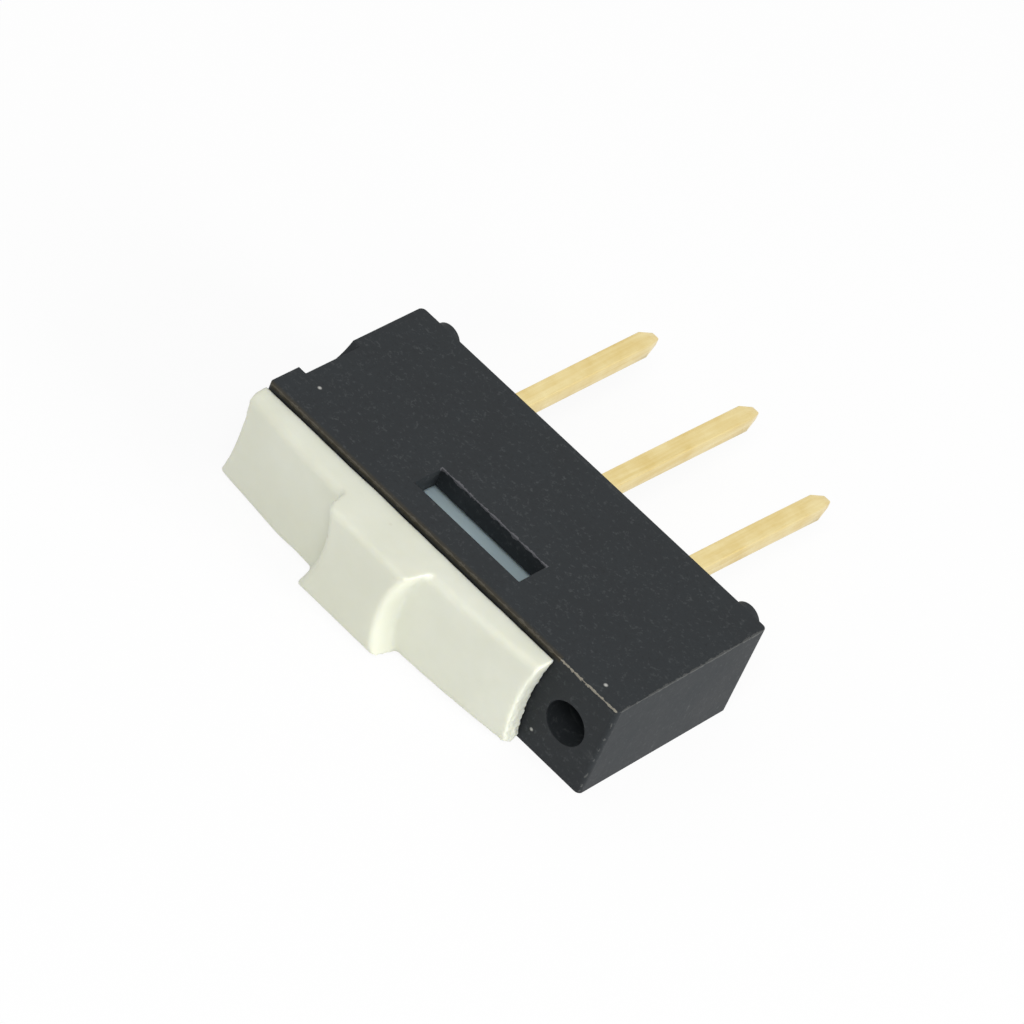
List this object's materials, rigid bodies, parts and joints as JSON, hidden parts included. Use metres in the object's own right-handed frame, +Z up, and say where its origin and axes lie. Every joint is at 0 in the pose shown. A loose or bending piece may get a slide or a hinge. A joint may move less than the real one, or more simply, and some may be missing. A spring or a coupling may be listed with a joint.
{
  "type": "slide switch",
  "caption": "Miniature slide switch: flat black housing, ivory slider with a raised knob, and straight gold pins on the board side.",
  "frame": {"origin": "middle of the broad side face of the housing that the switch lies on", "axes": "+X along the slider's travel, away from its resting end; +Y out of the board side, along the pins, so the slider's knob points along -Y; +Z up through the thickness"},
  "size_m": [0.01, 0.0115, 0.0024],
  "materials": {
    "case_black": "matte",
    "base_black": "matte",
    "slider_ivory": "satin",
    "terminal_gold": "satin gold plate",
    "contact_bronze": "satin"
  },
  "bodies": {
    "case_body": {"housing": "case_black", "base": "base_black", "terminal_left": "terminal_gold", "terminal_common": "terminal_gold", "terminal_right": "terminal_gold"},
    "slider_body": {"slider": "slider_ivory", "contact_bridge": "contact_bronze"}
  },
  "joints": [
    {"name": "slider_slide", "type": "slide", "parent": "case_body", "child": "slider_body", "axis": [1, 0, 0], "range_m": [0, 0.0017]}
  ]
}
